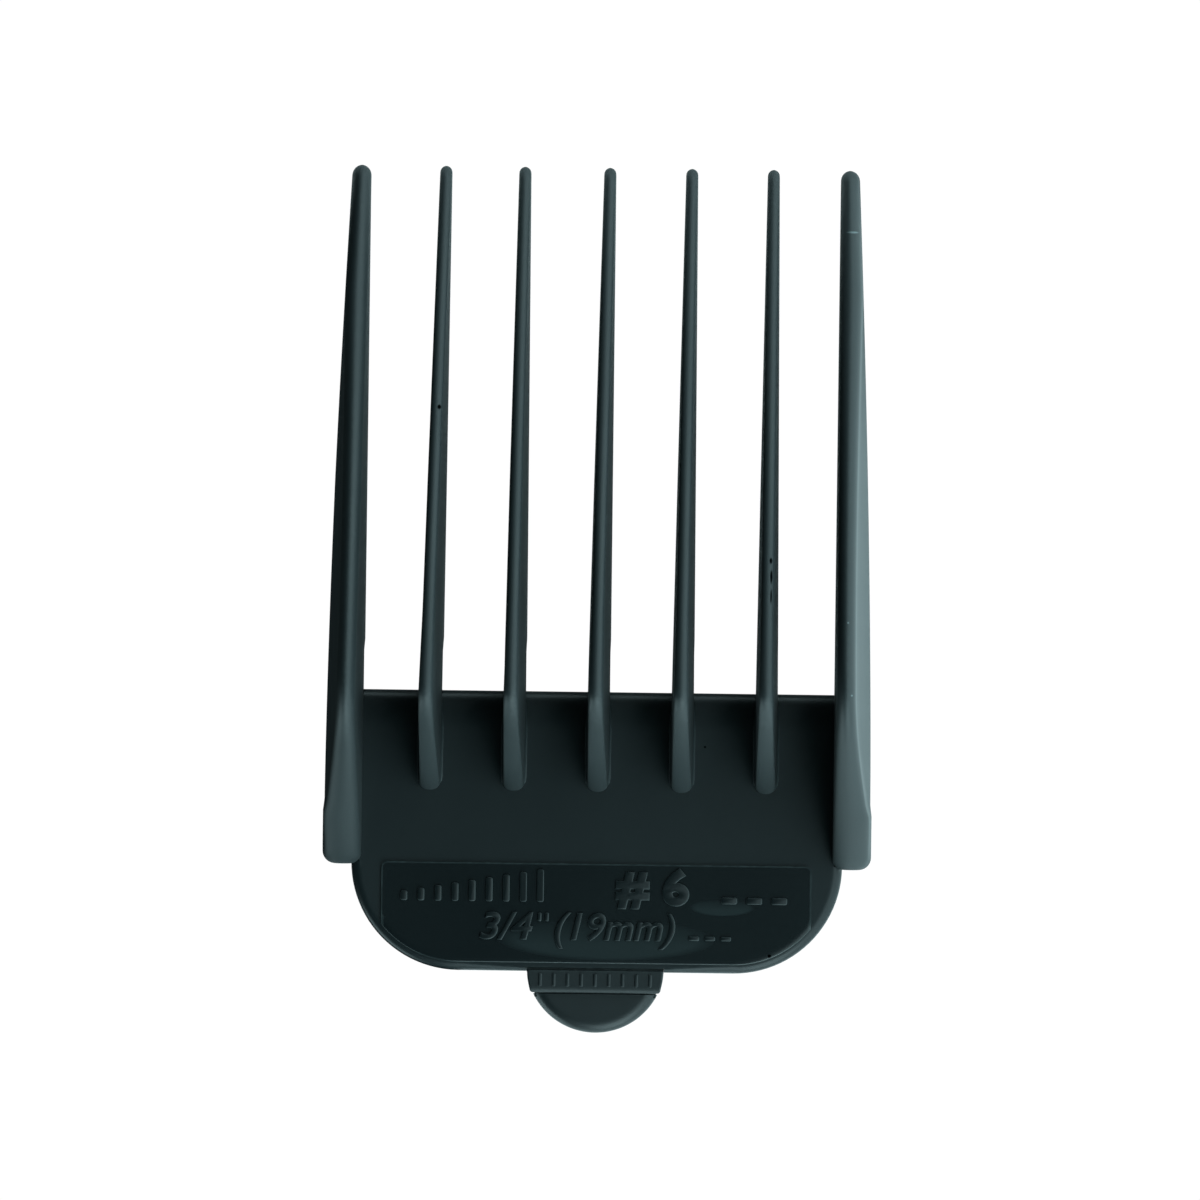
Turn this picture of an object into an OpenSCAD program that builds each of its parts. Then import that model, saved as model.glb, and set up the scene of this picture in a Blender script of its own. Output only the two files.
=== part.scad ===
// Guard comb for a hair clipper: seven fins on a plate that lies on the clipper's blade, with a latch at the heel.
// X runs across the comb, +Y from the heel to the fin tips, and +Z from the blade side up to the skin side.
// The origin is under the middle of the comb, on the plane that the fins' blade edges lie on.

/* [Plate] */
// Y of the fin tips. The tab ends as far behind the origin, so the comb is twice this long
tip_y = 38.1; // [38:0.05:38.3]
// Y of the plate's front edge
front_y = -8.1; // [-8.6:0.1:-7.6]
// Y of the plate's straight heel edge
heel_y = -32.7; // [-32.8:0.05:-32.6]
// Height of the plate's blade face, which is the depth of the blade pocket
plate_z = 3.4; // [3.2:0.1:3.6]
// Thickness of the plate
plate_t = 1.6; // [1.5:0.05:1.7]
// Half the plate's width behind the rails
plate_half = 21.6; // [21.2:0.1:22]
// Radius of the plate's heel corners
corner_r = 9.5; // [8:0.5:10]
// Y where the flat of the plate ends and the rolled lip starts
roll_y = -11.35; // [-11.6:0.05:-11]
// Radius of the rolled lip
roll_r = 9.5; // [9:0.1:10]

/* [Tines] */
// Distance between the middles of neighbouring tines at the plate
pitch = 7.385; // [7:0.005:7.4]
// Share of that distance left at the tips, where the tines close in slightly
tip_pitch_share = 0.974; // [0.96:0.002:1]
// Y of the tines' rear ends on the plate
root_y = -17.15; // [-18:0.05:-16.5]
// Y of the hump, where the skin edge is highest
hump_y = -9.4; // [-9.8:0.1:-9]
// Height of the corner that the hump rounds off
hump_z = 26; // [20:0.1:28]
// Height of the skin edge at the tips
tip_z = 1.9; // [1.6:0.1:2.4]
// How far the skin edge stands above a straight line at its middle
crown = 0.8; // [0:0.1:1.2]
// Width of a tine's skin edge
nose_w = 1.05; // [0.9:0.05:1.2]
// Width of a tine at the plate's front edge
tine_w = 1.95; // [1.6:0.05:2]
// Width of a tine's skin edge where it meets the plate
root_w = 1.8; // [1.6:0.05:1.8]

/* [Rails] */
// Distance from the middle to a rail's inner face
rail_in = 20.7; // [20.5:0.1:20.9]
// Distance from the middle to a rail's outer face at the heel
rail_out = 24; // [23.8:0.1:24.2]
// Distance from the middle to a rail's outer face at the tip
rail_tip_out = 22.35; // [22.2:0.05:22.6]
// Y of the rails' heel ends
rail_heel_y = -23.6; // [-23.6:0.1:-23.4]
// Height of the rails' heel ends
rail_heel_z = 6; // [5.6:0.1:6.4]
// Distance from the middle to the crease along a rail's outer side
crease_x = 22.8; // [22.6:0.1:23]
// Greatest height of that crease
crease_z = 14; // [10:0.5:16]

/* [Blade pocket] */
// Y of the stop faces in front of the blade's tooth tips
stop_y = -4.6; // [-5:0.1:-4.2]
// How far a toe hook reaches back under the tooth tips
hook_reach = 1; // [0.8:0.1:1.1]
// Height of a toe hook at the stop face
hook_h = 1.4; // [1.2:0.1:1.5]
// How far the land that carries the blade stands out of the plate
land_t = 0.3; // [0.2:0.05:0.4]
// Half the land's width
land_half = 18; // [16:0.5:19]

/* [Label] */
// Half the label panel's width
label_half = 18.9; // [18.5:0.1:19.2]
// Y of the panel's upper edge
label_top_y = -23.4; // [-23.8:0.1:-23]
// Y of the panel's lower edge
label_low_y = -31.95; // [-32:0.05:-31.9]
// Height of the panel above the plate
label_t = 0.2; // [0.15:0.05:0.25]
// Height of the marks above the panel
mark_t = 0.2; // [0.15:0.05:0.25]

/* [Latch] */
// Radius of the round thumb tab
tab_r = 6.1; // [6.05:0.05:6.2]
// Gap around the bead
bead_gap = 0.05; // [0.03:0.01:0.08]
// Half the bead's length
bead_half = 5.9; // [5:0.1:5.9]
// Y where the strip ends and the thinner tab starts
step_y = -34.56; // [-34.8:0.02:-34.4]
// Y of the wall's inner face, which the blade's heel rests against
wall_y = -32.9; // [-33.1:0.05:-32.9]
// Half the wall's width
wall_half = 5; // [4.4:0.1:5.4]
// How far the barb reaches in under the blade
barb_reach = 0.9; // [0.6:0.1:1]
// Number of ridges on the strip
ridge_count = 9; // [5:2:11]

/* [Hidden] */
$fn = 64;

plate_top = plate_z + plate_t;
ink = "#2b3133";
pale = "#434b4d";

// Angles from level at which the rolled lip starts and ends
roll_start = 10;
roll_end = asin(sin(roll_start) + (front_y - roll_y - 0.15) / roll_r);

// A number part of the way from a to b
function mix(a, b, t) = a + (b - a) * min(1, max(0, t));

// The lower of a and b, rounded off over a height of k where they cross
function soft_min(a, b, k) = let (h = max(k - abs(a - b), 0) / k) min(a, b) - h * h * k / 4;

// A share of the full width, from 0 at the end of a round end to 1 at a distance of r from it
function round_end(d, r) = d >= r ? 1 : sqrt(max(0, 1 - pow(1 - d / r, 2)));

// Y values from a to b, closer together at a
function eased(a, b, n) = [for (i = [0:n]) a + (b - a) * (1 - cos(90 * i / n))];

// Y values from a to b, evenly spaced, without a itself
function even(a, b, n) = [for (i = [1:n]) a + (b - a) * i / n];

// ---- Side profile that all fins share ----

hump_round = 6;
tip_r = 1.1;

function skin_z(y) = let (t = (y - hump_y) / (tip_y - hump_y))
    hump_z + (tip_z - hump_z) * t + 4 * crown * t * (1 - t);

// Height of a fin's skin edge at y, on a ramp that starts at height z0 at y0
function top_z(y, y0, z0) =
    let (ramp = z0 + (y - y0) * (hump_z - z0) / (hump_y - y0))
    soft_min(skin_z(y), ramp, hump_round);

// Height of the middle of the rounded tip, and how much of the fin's height is left near the tip
tip_mid = tip_z / 2;
function tip_share(y) = round_end(tip_y - y, tip_r);
function high(y, z) = tip_mid + (z - tip_mid) * max(0.15, tip_share(y));
function low(y) = tip_mid * (1 - max(0.15, tip_share(y)));

// A solid through a list of closed rings that all have the same number of points
module loft(rings) {
    n = len(rings[0]);
    last = len(rings) - 1;
    points = [for (ring = rings) each ring];
    sides = [for (i = [0:last - 1]) for (j = [0:n - 1])
        each [[i * n + j, i * n + (j + 1) % n, (i + 1) * n + (j + 1) % n],
              [i * n + j, (i + 1) * n + (j + 1) % n, (i + 1) * n + j]]];
    near_cap = [for (j = [0:n - 1]) n - 1 - j];
    far_cap = [for (j = [0:n - 1]) last * n + j];
    polyhedron(points = points, faces = concat([near_cap], sides, [far_cap]), convexity = 6);
}

// ---- Tines ----

nose_steps = 6;
root_r = 0.9;
// A tine's skin edge is never wider than this share of its foot
nose_share = 0.94;
hump_from = hump_y - 1.6;
hump_to = hump_y + 1.6;

tine_stations = concat(
    eased(root_y, root_y + root_r, 4),
    even(root_y + root_r, hump_from, 5),
    even(hump_from, hump_to, 6),
    even(hump_to, tip_y - tip_r, 5),
    [for (i = [1:5]) tip_y - tip_r * (1 - sin(90 * i / 5))]);

// Half the tine's width at its foot and at its skin edge
function foot_half(y) = 0.5 * (y < front_y
    ? mix(root_w, tine_w, (y - root_y) / (front_y - root_y))
    : mix(tine_w, nose_w, (y - front_y) / (tip_y - front_y)));
function nose_half(y) = 0.5 * mix(root_w, nose_w, (y - root_y) / (hump_from - root_y));
function end_share(y) = max(0.25, min(round_end(y - root_y, root_r), tip_share(y)));

// The middle of tine k, counted from -2 to 2, which closes in slightly from the plate to the tip
function tine_x(k, y) = k * pitch * mix(1, tip_pitch_share, (y - front_y) / (tip_y - front_y));

function tine_ring(k, y) =
    let (share = end_share(y),
         foot = foot_half(y) * share,
         nose = min(nose_half(y), nose_share * foot_half(y)) * share,
         top = high(y, top_z(y, root_y, plate_top - 0.4)),
         under = low(y),
         knee = min(plate_top, mix(under, top, 0.3)),
         x = tine_x(k, y))
    concat([[x + foot, y, under], [x + foot, y, knee]],
        [for (i = [0:nose_steps]) let (a = 180 * i / nose_steps)
            [x + nose * cos(a), y, top - nose * (1 - sin(a))]],
        [[x - foot, y, knee], [x - foot, y, under]]);

module tine(k) {
    color(ink) difference() {
        loft([for (y = tine_stations) tine_ring(k, y)]);
        pocket(plate_z + plate_t / 2);
        lip_solid();
        plate_slab();
    }
}

// The space that the blade takes, cut out of the fins. Under the plate the cut ends at the given height.
module pocket(under_plate) {
    back = heel_y - 10;
    bar([[back, -1], [stop_y, -1], [stop_y, plate_z], [front_y - 1, plate_z],
        [front_y - 1, under_plate], [back, under_plate]], 60);
}

// A bar along X, centred, with an outline of [y, z] points
module bar(outline, length) {
    translate([-length / 2, 0, 0]) rotate([90, 0, 90]) linear_extrude(length) polygon(outline);
}

// ---- Rails ----

rail_corner_r = 1;
crease_from = -19;
crease_to = 27;

rail_stations = concat(
    eased(rail_heel_y, rail_heel_y + rail_corner_r, 4),
    even(rail_heel_y + rail_corner_r, hump_from, 6),
    even(hump_from, hump_to, 6),
    even(hump_to, tip_y - tip_r, 8),
    [for (i = [1:5]) tip_y - tip_r * (1 - sin(90 * i / 5))]);

// Distance from the middle to the rail's outer face at its foot: bowed, and rounded at the heel corner
function outer_x(y) =
    let (t = (y - crease_from) / (tip_y - crease_from))
    (y < crease_from ? rail_out : mix(rail_out, rail_tip_out, pow(t, 1.6)))
    - rail_corner_r * (1 - round_end(y - rail_heel_y, rail_corner_r));

// How deep and how high the crease is: none at its two ends, most near the hump
function crease_depth(y) = y <= crease_from || y >= crease_to ? 0
    : y < front_y ? (rail_out - crease_x) * sin(90 * (y - crease_from) / (front_y - crease_from))
    : (rail_out - crease_x) * cos(90 * (y - front_y) / (crease_to - front_y));
function rail_nose_out(y) = mix(outer_x(rail_heel_y + 3) - 0.6, rail_in + 1.25, (y - rail_heel_y) / (hump_y - rail_heel_y));

function rail_ring(side, y) =
    let (share = max(0.3, tip_share(y)),
         outer = rail_in + (outer_x(y) - rail_in) * share,
         crease = outer - crease_depth(y),
         nose_out = min(rail_nose_out(y), crease - 0.05, rail_in + (rail_nose_out(y) - rail_in) * share),
         top = high(y, top_z(y, rail_heel_y, rail_heel_z)),
         under = low(y),
         knee = min(plate_top, mix(under, top, 0.3)),
         ridge = mix(knee, min(crease_z, top - 2), crease_depth(y) / (rail_out - crease_x)) + 0.05,
         half = (nose_out - rail_in) / 2)
    [for (p = concat([[rail_in, under], [outer, under], [outer, knee], [crease, ridge]],
        [for (i = [0:nose_steps]) let (a = 180 * i / nose_steps)
            [rail_in + half * (1 + cos(a)), top - min(half, 0.5) * (1 - sin(a))]]))
        [side * p[0], y, p[1]]];

module rail(side) {
    rings = [for (y = rail_stations) rail_ring(side, y)];
    turned = [for (ring = rings) [for (i = [len(ring) - 1:-1:0]) ring[i]]];
    color(pale) difference() {
        loft(side > 0 ? rings : turned);
        pocket(plate_z);
    }
}

module left_rail() { rail(-1); }
module right_rail() { rail(1); }

// ---- Plate ----

// Heel of the plate seen from above: full width, with round corners
module heel_outline(inset) {
    half = plate_half - inset;
    low_y = heel_y + inset;
    r = corner_r - inset;
    translate([-half, low_y + r]) square([2 * half, 2]);
    translate([r - half, low_y]) square([2 * (half - r), r + 1]);
    for (side = [-1, 1]) translate([side * (half - r), low_y + r]) circle(r);
}

module plate_outline() {
    intersection() {
        heel_outline(0);
        translate([-plate_half, heel_y]) square([2 * plate_half, rail_heel_y - heel_y]);
    }
    translate([-rail_in, rail_heel_y]) square([2 * rail_in, roll_y - rail_heel_y]);
}

// The plate without its hinge seat, which the tines are also cut with
module plate_slab() {
    translate([0, 0, plate_z]) linear_extrude(plate_t) plate_outline();
}

module base_plate() {
    seat_half = bead_half + 0.3;
    color(ink) difference() {
        plate_slab();
        translate([-seat_half, hinge_y, hinge_z]) rotate([0, 90, 0]) cylinder(h = 2 * seat_half, r = bead_r + bead_gap);
        translate([-seat_half, heel_y - 1, plate_z - 1]) cube([2 * seat_half, hinge_y - heel_y + 1, plate_t + 2]);
    }
}

// Points of the rolled top of the lip, from the flat of the plate to the front edge
function roll_points(n) = [for (i = [0:n]) let (a = mix(roll_start, roll_end, i / n))
    [roll_y + roll_r * (sin(a) - sin(roll_start)), plate_top - roll_r * (cos(roll_start) - cos(a))]];

module lip_solid() {
    roll = roll_points(8);
    edge_z = roll[8][1];
    bar(concat([[roll_y, plate_z], [front_y - 0.25, plate_z], [front_y, plate_z + 0.2], [front_y, edge_z - 0.15]],
        [for (i = [8:-1:0]) roll[i]]), 2 * rail_in);
}

module front_lip() { color(ink) lip_solid(); }

// ---- Blade side ----

module toe_hooks() {
    outline = [[stop_y, 0], [stop_y, hook_h], [stop_y - hook_reach, hook_h - 0.4], [stop_y - hook_reach, 0.25],
        [stop_y - hook_reach + 0.25, 0]];
    color(ink) {
        for (k = [-2:2]) translate([tine_x(k, stop_y), 0, 0]) bar(outline, 1.7);
        for (side = [-1, 1]) translate([side * (rail_in + 1.4), 0, 0]) bar(outline, 2.4);
    }
}

module blade_land() {
    color(ink) translate([-land_half, -30.5, plate_z - land_t]) cube([2 * land_half, 18.5, land_t]);
}

// ---- Label ----

module label_panel() {
    color(ink) translate([0, 0, plate_top]) linear_extrude(label_t) intersection() {
        heel_outline(0.75);
        translate([-label_half, label_low_y]) square([2 * label_half, label_top_y - label_low_y]);
    }
}

// Part of a flat ring from angle a to angle b, no more than half a turn
module arc_stroke(r, s, a, b) {
    reach = 2 * r;
    intersection() {
        difference() {
            circle(r);
            circle(r - s);
        }
        polygon(concat([[0, 0]], [for (i = [0:4]) let (t = mix(a, b, i / 4)) [reach * cos(t), reach * sin(t)]]));
    }
}

// Numerals of height h, drawn with a stroke s, from the lower left corner
module six(h, s) {
    r = 0.3 * h;
    translate([r, r]) difference() {
        circle(r);
        circle(r - s);
    }
    translate([0, r]) square([s, h - 2 * r]);
    translate([r, h - r]) arc_stroke(r, s, 35, 180);
}

module nine(h, s) {
    translate([0.6 * h, h]) rotate(180) six(h, s);
}

module three(h, s) {
    r = (h + s) / 4;
    translate([r, h - r]) arc_stroke(r, s, -90, 60);
    translate([r, h - r]) arc_stroke(r, s, 55, 150);
    translate([r, r]) arc_stroke(r, s, -60, 90);
    translate([r, r]) arc_stroke(r, s, -150, -55);
}

module four(h, s) {
    translate([0.38 * h, 0]) square([s, h]);
    translate([0, 0.25 * h]) square([0.6 * h, s]);
    polygon([[0, 0.25 * h], [s, 0.25 * h], [0.38 * h + s, h], [0.38 * h, h]]);
}

module one(h, s) {
    translate([0.2 * h, 0]) square([s, h]);
    polygon([[0, 0.72 * h], [0, 0.72 * h + s], [0.2 * h, h], [0.2 * h, h - s]]);
}

module slash(h, s) {
    polygon([[0, 0], [s, 0], [0.35 * h + s, h], [0.35 * h, h]]);
}

// The small m of millimetres
module em(h, s) {
    r = 0.2 * h + s / 2;
    for (i = [0:2]) translate([i * (2 * r - s), 0]) square([s, 0.62 * h - r]);
    square([s, 0.62 * h]);
    for (i = [0:1]) translate([r + i * (2 * r - s), 0.62 * h - r]) arc_stroke(r, s, 0, 180);
}

// A number sign
module hash_sign(h, s) {
    for (x = [0.16, 0.44]) translate([x * h, 0]) square([s, h]);
    for (y = [0.24, 0.58]) translate([0, y * h]) square([0.76 * h, s]);
}

// A bracket of height h that bulges to the left
module bracket(h, s) {
    r = 0.9 * h;
    translate([r, h / 2]) arc_stroke(r, s, 146, 214);
}

module size_marks() {
    big = 3;
    small = 2.4;
    line_1 = label_top_y - 3.4;
    line_2 = label_top_y - 6.6;
    thick = 0.6;
    thin = 0.38;
    bar_count = 9;
    bar_step = 1.5;
    color(pale) translate([0, 0, plate_top + label_t]) linear_extrude(mark_t) {
        // bars that grow to the right, for hair length
        for (i = [0:bar_count - 1]) translate([-17.2 + bar_step * i, line_1])
            square([thick, big * (0.3 + 0.7 * i / (bar_count - 1))]);
        // size number
        translate([1.2, line_1]) hash_sign(big, thick);
        translate([5, line_1]) six(big, thick);
        // three dashes at the right
        for (i = [0:2]) translate([11 + 2.2 * i, line_1]) square([1.4, thick]);
        // cut length in inches, then in millimetres
        translate([-10.2, line_2]) three(small, thin);
        translate([-8.5, line_2]) slash(small, thin);
        translate([-7.1, line_2]) four(small, thin);
        for (i = [0:1]) translate([-5.3 + 0.7 * i, line_2 + 0.7 * small]) square([thin, 0.3 * small]);
        translate([-3.6, line_2 - 0.3]) bracket(small + 0.6, thin);
        translate([-2.6, line_2]) one(small, thin);
        translate([-1.2, line_2]) nine(small, thin);
        translate([0.9, line_2]) em(small, thin);
        translate([3.7, line_2]) em(small, thin);
        translate([7, line_2 + small + 0.3]) rotate(180) bracket(small + 0.6, thin);
        for (i = [0:2]) translate([8.2 + 1.4 * i, line_2]) square([0.9, thin]);
    }
}

// ---- Latch, drawn shut ----

// Middle of the tab's circle
tab_y = tab_r - tip_y;

// The bead fills the plate's thickness, with its middle just inside the plate's heel edge
bead_r = plate_t / 2;
hinge_y = heel_y + 0.3;
hinge_z = plate_z + bead_r;

bridge_low = plate_z + 0.15;
bridge_top = plate_top - 0.15;
wall_low = 0.1;
tab_low = plate_z - 0.8;
tab_top = bridge_top - 0.9;

// The part of the tab's circle from y0 down to y1
module tab_band(y0, y1) {
    intersection() {
        translate([0, tab_y]) circle(tab_r);
        translate([-tab_r, y1]) square([2 * tab_r, y0 - y1]);
    }
}

module bead(r, half) {
    translate([-half, hinge_y, hinge_z]) rotate([0, 90, 0]) cylinder(h = 2 * half, r = r);
}

module hinge_bead() { color(ink) bead(bead_r, bead_half); }

module latch_bridge() {
    color(pale) difference() {
        translate([0, 0, bridge_low]) linear_extrude(bridge_top - bridge_low) tab_band(hinge_y - 0.3, step_y);
        bead(bead_r, tab_r + 1);
    }
}

module grip_ridges() {
    ridge = [0.4, 1.3, 0.2];
    step = 10 / (ridge_count - 1) - ridge[0] / (ridge_count - 1);
    color(pale) for (i = [0:ridge_count - 1])
        translate([-5 + step * i, step_y + 0.25, bridge_top]) cube(ridge);
}

module latch_wall() {
    color(ink) translate([-wall_half, step_y, wall_low])
        cube([2 * wall_half, wall_y - step_y, bridge_low - wall_low]);
}

module latch_barb() {
    color(ink) bar([[wall_y, 0], [wall_y + 0.15, 0], [wall_y + barb_reach, 0.55], [wall_y + barb_reach, 0.8],
        [wall_y, 0.95]], 2 * wall_half);
}

module thumb_tab() {
    color(ink) translate([0, 0, tab_low]) linear_extrude(tab_top - tab_low) tab_band(step_y, tab_y - tab_r - 1);
}

module latch_gussets() {
    color(ink) for (x = [-3, 3]) translate([x, 0, 0])
        bar([[step_y, 0.9], [step_y, tab_low], [step_y - 2, tab_low]], 1);
}

base_plate();
front_lip();
left_rail();
right_rail();
tine(-2);  // tine_1
tine(-1);  // tine_2
tine(0);  // tine_3
tine(1);  // tine_4
tine(2);  // tine_5
toe_hooks();
blade_land();
label_panel();
size_marks();
hinge_bead();
latch_bridge();
grip_ridges();
latch_wall();
latch_barb();
thumb_tab();
latch_gussets();
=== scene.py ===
"""Looks of a clipper guard comb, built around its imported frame.

Lengths are in millimetres and are turned into metres where a mesh is made.
X runs across the comb, +Y from the heel to the fin tips, +Z from the blade side up to the skin side.
"""

import math

import bmesh
import bpy
from mathutils import Matrix, Vector


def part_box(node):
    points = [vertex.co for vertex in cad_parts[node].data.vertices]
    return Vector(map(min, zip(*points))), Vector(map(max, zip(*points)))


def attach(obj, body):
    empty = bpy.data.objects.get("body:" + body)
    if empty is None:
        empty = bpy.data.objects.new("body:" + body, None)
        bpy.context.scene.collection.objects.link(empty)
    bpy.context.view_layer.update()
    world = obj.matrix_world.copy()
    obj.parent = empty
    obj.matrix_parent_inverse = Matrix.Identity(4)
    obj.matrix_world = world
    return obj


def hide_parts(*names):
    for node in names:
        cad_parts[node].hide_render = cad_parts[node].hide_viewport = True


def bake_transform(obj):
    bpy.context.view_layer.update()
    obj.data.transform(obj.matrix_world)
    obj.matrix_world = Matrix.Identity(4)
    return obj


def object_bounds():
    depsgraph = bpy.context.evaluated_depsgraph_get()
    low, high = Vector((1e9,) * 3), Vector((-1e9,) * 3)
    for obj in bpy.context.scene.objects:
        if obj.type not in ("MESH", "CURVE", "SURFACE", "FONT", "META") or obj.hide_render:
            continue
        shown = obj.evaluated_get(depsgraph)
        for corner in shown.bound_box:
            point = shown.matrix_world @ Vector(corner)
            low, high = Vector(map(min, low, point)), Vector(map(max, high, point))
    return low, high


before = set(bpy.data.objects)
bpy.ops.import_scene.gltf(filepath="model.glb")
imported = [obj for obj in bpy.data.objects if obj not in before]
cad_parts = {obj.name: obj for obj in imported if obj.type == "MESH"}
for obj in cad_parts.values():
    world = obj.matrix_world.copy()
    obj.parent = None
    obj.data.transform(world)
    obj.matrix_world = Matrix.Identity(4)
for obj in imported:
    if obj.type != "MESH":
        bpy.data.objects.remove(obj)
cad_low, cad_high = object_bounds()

MM = 0.001


def box_mm(node):
    """Lowest and highest corner of a CAD node, in millimetres."""
    low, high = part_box(node)
    return low / MM, high / MM


plate_low, plate_high = box_mm("base_plate")
lip_low, lip_high = box_mm("front_lip")
tine_low, tine_high = box_mm("tine_3")
last_tine_low, last_tine_high = box_mm("tine_5")
rail_low, rail_high = box_mm("right_rail")
panel_low, panel_high = box_mm("label_panel")
marks_high = box_mm("size_marks")[1]
bridge_low = box_mm("latch_bridge")[0]
tab_low, tab_high = box_mm("thumb_tab")
bead_low, bead_high = box_mm("hinge_bead")

# ---- Side profile that all fins share, as in the CAD ----

DECK = plate_high.z
TIP_Y = tine_high.y
ROOT_Y = tine_low.y
# The rails' heel starts a little in front of the CAD's
HEEL_IN = 0.15
HEEL_Y = rail_low.y + HEEL_IN
# The front lip rolls down from ROLL_Y to FRONT_Y
ROLL_Y = lip_low.y
FRONT_Y = lip_high.y
# Where the blade's pocket ends, at the toe stops
STOP_Y = -4.6
# The ramp and the skin edge meet at the hump, rounded off over a height of HUMP_ROUND
HUMP_Y = -9.4
HUMP_Z = 26.0
HUMP_ROUND = 6.0
# How far the skin edge bows up between the hump and the tip
CROWN = 0.8
# Height of the fins at the tip, how long the rounded tip is, and the least share of the full size at its end
TIP_Z = 1.9
TIP_R = 1.1
TIP_LEAST = 0.12
# Height of the rails' skin edge at the heel
RAIL_HEEL_Z = 6.0
# Inside the plate, a tine's underside lies this far above the plate's
FOOT_SUNK = 0.6
# A hidden gap that keeps two faces from lying in one plane
APART = 0.02


def mix(a, b, t):
    """A number part of the way from a to b."""
    return a + (b - a) * min(1, max(0, t))


def share_of(value, a, b):
    """How far value is from a to b, from 0 to 1."""
    return min(1, max(0, (value - a) / (b - a)))


def ease(t):
    """A share from 0 to 1 that starts and ends gently."""
    return t * t * (3 - 2 * t)


def soft_min(a, b, k):
    """The lower of a and b, rounded off over a height of k where they cross."""
    h = max(k - abs(a - b), 0) / k
    return min(a, b) - h * h * k / 4


def round_end(d, r):
    """A share of the full width: 0 at the end of a round end, 1 at a distance of r from it."""
    return 1 if d >= r else math.sqrt(max(0, 1 - (1 - max(0, d) / r) ** 2))


def top_z(y, y0, z0):
    """Height of a fin's skin edge at y, on a ramp that starts at height z0 at y0."""
    t = (y - HUMP_Y) / (TIP_Y - HUMP_Y)
    skin = HUMP_Z + (TIP_Z - HUMP_Z) * t + 4 * CROWN * t * (1 - t)
    ramp = z0 + (y - y0) * (HUMP_Z - z0) / (HUMP_Y - y0)
    return soft_min(skin, ramp, HUMP_ROUND)


def tip_share(y):
    """How much of a fin's height and width is left near its rounded tip."""
    return max(TIP_LEAST, round_end(TIP_Y - y, TIP_R))


def high(y, z):
    """Height z, drawn in towards the tip's middle near the rounded tip."""
    return TIP_Z / 2 + (z - TIP_Z / 2) * tip_share(y)


def under_z(y):
    """Height of a fin's underside: in the plate, then the pocket's ceiling, then the blade plane."""
    if y < FRONT_Y:
        return plate_low.z + FOOT_SUNK
    if y < STOP_Y:
        return plate_low.z + APART
    return TIP_Z / 2 * (1 - tip_share(y))


# Height that the lip's upper side curves down to at its front edge
LIP_LOW = plate_low.z + 0.2
# Length over which the tines' flanks come back up to the deck's height in front of the lip
LIP_EASE = 4.0


def deck_z(y):
    """Height of the plate's upper side, and in front of the plate the height where a fin's flank starts."""
    if y < FRONT_Y:
        return LIP_LOW + (DECK - LIP_LOW) * math.sqrt(1 - share_of(y, ROLL_Y, FRONT_Y) ** 2)
    return mix(LIP_LOW, DECK, ease(share_of(y, FRONT_Y, FRONT_Y + LIP_EASE)))


# ---- Meshes ----

# Width of the rubbed border along the edge of a wide flat face, whose paleness is partly a painted highlight
WEAR_AND_HIGHLIGHT_WIDTH = 0.16
# Least area of such a face, and how nearly level it lies
WIDE_AREA = 4
WIDE_LEVEL = 0.9
# Bend of an edge, in degrees, where the wear and its painted highlight start and where they are full
WEAR_AND_HIGHLIGHT_FROM = 14
WEAR_AND_HIGHLIGHT_FULL = 30
# A limit in y that lies beyond the comb
EVERYWHERE = 1000


def is_wide(face):
    """Whether a face is wide, level and has an outline of many points."""
    return face.calc_area() > WIDE_AREA and abs(face.normal.z) > WIDE_LEVEL and len(face.verts) > 8


def new_piece(name, mesh, material, body, nodes, smooth=35, worn_and_highlit_to=EVERYWHERE):
    """Turns a bmesh in millimetres into a piece of the object in metres.

    Edges that bend by more than smooth degrees stay sharp, and up to the given y they are rubbed paler,
    partly as a painted highlight.
    """
    bmesh.ops.remove_doubles(mesh, verts=mesh.verts, dist=0.0005)
    bmesh.ops.dissolve_degenerate(mesh, edges=mesh.edges, dist=0.0004)
    bmesh.ops.recalc_face_normals(mesh, faces=mesh.faces)
    # a narrow border keeps the wear and painted highlight of an edge from spreading over the wide face beside
    # it
    wide = [face for face in mesh.faces if is_wide(face)]
    if wide:
        bmesh.ops.inset_individual(mesh, faces=wide, thickness=WEAR_AND_HIGHLIGHT_WIDTH)
    mesh.transform(Matrix.Scale(MM, 4))
    data = bpy.data.meshes.new(name)
    mesh.to_mesh(data)
    mesh.free()
    data.shade_smooth()
    data.set_sharp_from_angle(angle=math.radians(smooth))
    data.materials.append(material)
    piece = bpy.data.objects.new(name, data)
    bpy.context.scene.collection.objects.link(piece)
    mark_wear_and_highlight(piece, worn_and_highlit_to * MM)
    # wide flat faces keep their own normal beside a rounded rim
    flat = piece.modifiers.new("flat_faces", "WEIGHTED_NORMAL")
    flat.keep_sharp = True
    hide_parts(*nodes)
    if body:
        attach(piece, body)
    return piece


def mark_wear_and_highlight(piece, worn_and_highlit_to):
    """Stores how strongly each point up to the given y stands out, as edge wear that is partly a painted
    highlight, in a point attribute.
    """
    mesh = bmesh.new()
    mesh.from_mesh(piece.data)
    mesh.normal_update()
    wear_and_highlight_of_points = []
    for point in mesh.verts:
        bend = 0
        for edge in point.link_edges:
            if len(edge.link_faces) == 2:
                bend = max(bend, edge.calc_face_angle_signed(0))
        rubbed_and_highlit = share_of(math.degrees(bend), WEAR_AND_HIGHLIGHT_FROM, WEAR_AND_HIGHLIGHT_FULL)
        wear_and_highlight_of_points.append(rubbed_and_highlit if point.co.y < worn_and_highlit_to else 0)
    mesh.free()
    attribute = piece.data.attributes.new("wear_and_highlight", "FLOAT", "POINT")
    attribute.data.foreach_set("value", wear_and_highlight_of_points)


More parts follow.
